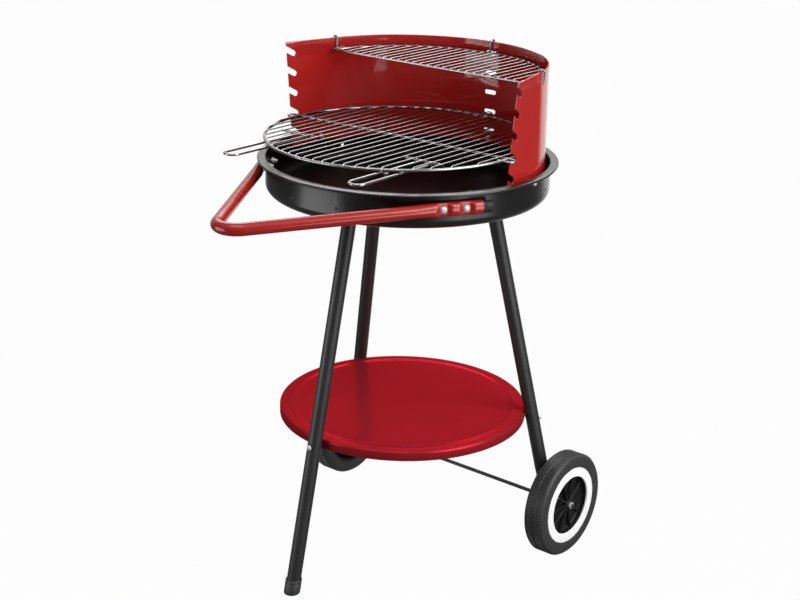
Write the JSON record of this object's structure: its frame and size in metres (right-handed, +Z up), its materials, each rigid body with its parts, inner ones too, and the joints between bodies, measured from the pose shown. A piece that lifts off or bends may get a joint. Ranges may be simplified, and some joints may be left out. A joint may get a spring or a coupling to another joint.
{
  "type": "charcoal grill",
  "caption": "Round charcoal grill on a leg trolley, with a half wind shield, wire cooking grid and warming rack, a V-shaped pull handle, a lower shelf and wheels.",
  "frame": {"origin": "on the floor, under the middle of the whole grill's bounding box", "axes": "+Z up; -Y to the front, where the pull handle and the single foot are; +X to the right when looking from behind the handle towards the bowl; the wheels' axle runs along X"},
  "size_m": [0.507, 0.6317, 0.7983],
  "materials": {
    "bowl_enamel": "gloss black enamel",
    "red_paint": "gloss red paint",
    "leg_paint": "satin black paint",
    "chrome_wire": "polished",
    "zinc": "bright zinc",
    "black_plastic": "matte",
    "wheel_tread": "matte",
    "ring_white": "satin"
  },
  "bodies": {
    "frame": {"axle": "leg_paint", "axle_nut_left": "zinc", "axle_nut_right": "zinc", "fire_bowl": "bowl_enamel", "foot_cap": "black_plastic", "handle_bolt_left_front": "zinc", "handle_bolt_left_rear": "zinc", "handle_bolt_right_front": "zinc", "handle_bolt_right_rear": "zinc", "handle_nut_left_front": "zinc", "handle_nut_left_rear": "zinc", "handle_nut_right_front": "zinc", "handle_nut_right_rear": "zinc", "handle_plug_left": "black_plastic", "handle_plug_right": "black_plastic", "leg_bolt_front": "zinc", "leg_bolt_rear_left": "zinc", "leg_bolt_rear_right": "zinc", "leg_front": "leg_paint", "leg_nut_front": "zinc", "leg_nut_rear_left": "zinc", "leg_nut_rear_right": "zinc", "leg_rear_left": "leg_paint", "leg_rear_right": "leg_paint", "pull_handle": "red_paint", "shelf": "red_paint", "shelf_nut_front": "zinc", "shelf_nut_rear_left": "zinc", "shelf_nut_rear_right": "zinc", "shelf_screw_front": "zinc", "shelf_screw_rear_left": "zinc", "shelf_screw_rear_right": "zinc", "shield_nut_left": "zinc", "shield_nut_rear": "zinc", "shield_nut_right": "zinc", "shield_screw_left": "zinc", "shield_screw_rear": "zinc", "shield_screw_right": "zinc", "shield_spacer_left": "zinc", "shield_spacer_rear": "zinc", "shield_spacer_right": "zinc", "wind_shield": "red_paint"},
    "wheel_left": {"tyre_left": "wheel_tread", "wheel_hub_left": "black_plastic", "wheel_ring_left": "ring_white"},
    "wheel_right": {"tyre_right": "wheel_tread", "wheel_hub_right": "black_plastic", "wheel_ring_right": "ring_white"},
    "cooking_grid": {"cooking_grid": "chrome_wire", "grid_grip_left": "chrome_wire", "grid_grip_right": "chrome_wire"},
    "warming_rack": {"warming_rack": "chrome_wire", "rack_hook_left": "chrome_wire", "rack_hook_rear": "chrome_wire", "rack_hook_right": "chrome_wire"}
  },
  "joints": [
    {"name": "wheel_left_spin", "type": "hinge", "parent": "frame", "child": "wheel_left", "pos_m": [-0.2309, 0.21692, 0.0851], "axis": [1, 0, 0], "continuous": true},
    {"name": "wheel_right_spin", "type": "hinge", "parent": "frame", "child": "wheel_right", "pos_m": [0.2309, 0.21692, 0.0851], "axis": [1, 0, 0], "continuous": true},
    {"name": "cooking_grid_slide", "type": "slide", "parent": "frame", "child": "cooking_grid", "axis": [0, -0.866, 0.5], "range_m": [0, 0.05]},
    {"name": "warming_rack_lift", "type": "slide", "parent": "frame", "child": "warming_rack", "axis": [0, 0, 1], "range_m": [0, 0.05]}
  ]
}
